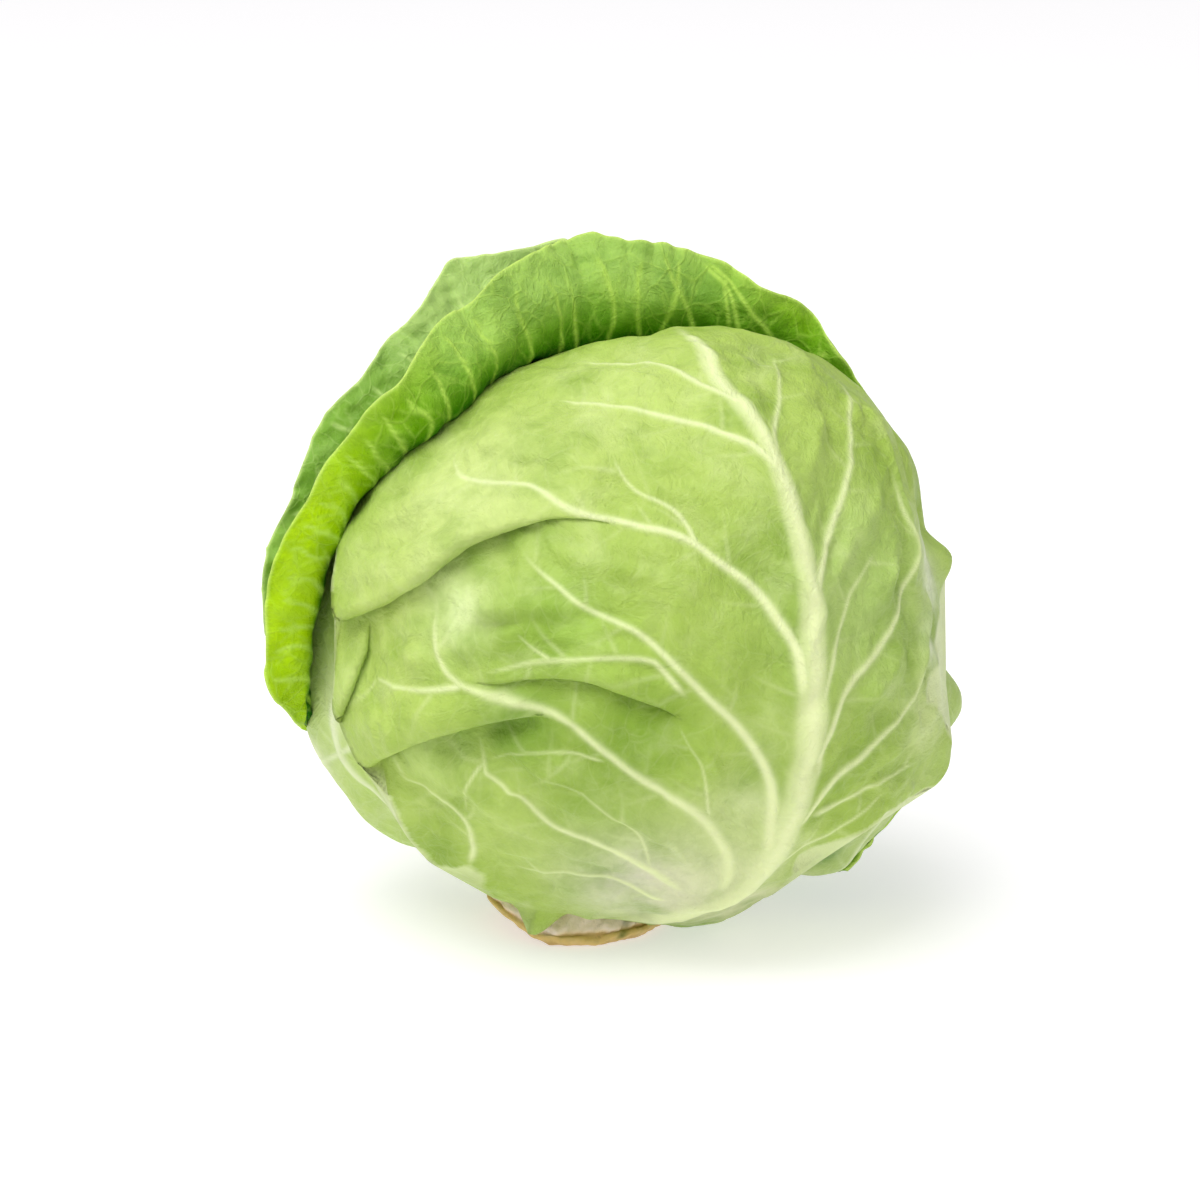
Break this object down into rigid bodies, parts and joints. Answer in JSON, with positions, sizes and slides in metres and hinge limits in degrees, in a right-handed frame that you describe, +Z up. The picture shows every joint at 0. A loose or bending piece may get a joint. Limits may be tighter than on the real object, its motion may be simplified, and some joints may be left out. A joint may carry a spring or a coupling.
{
  "type": "cabbage head",
  "caption": "Round green cabbage head standing on its cut stem, with pale leaves closed round the heart and dark wrapper leaves rolled back at the edge.",
  "frame": {"origin": "middle of the stem's cut face, on the surface that the head stands on", "axes": "+Z up from the cut face through the head, +X to the right seen from the front, the front leaf faces -Y"},
  "size_m": [0.1831, 0.1623, 0.1789],
  "materials": {
    "stem": "moist cut stem, cream with a tan dried rim",
    "inner_leaf": "waxy pale leaf, satin",
    "head_leaf": "waxy pale green leaf with light raised veins, satin",
    "bright_wrapper": "bright green leaf with light veins, satin gloss",
    "bloomed_wrapper": "grey-green leaf with a dull waxy bloom"
  },
  "bodies": {
    "root": {"stem": "stem", "heart": "inner_leaf", "front_leaf": "head_leaf", "left_leaf": "head_leaf", "right_leaf": "head_leaf", "inner_wrapper_leaf": "bright_wrapper", "outer_wrapper_leaf": "bloomed_wrapper"}
  },
  "joints": []
}
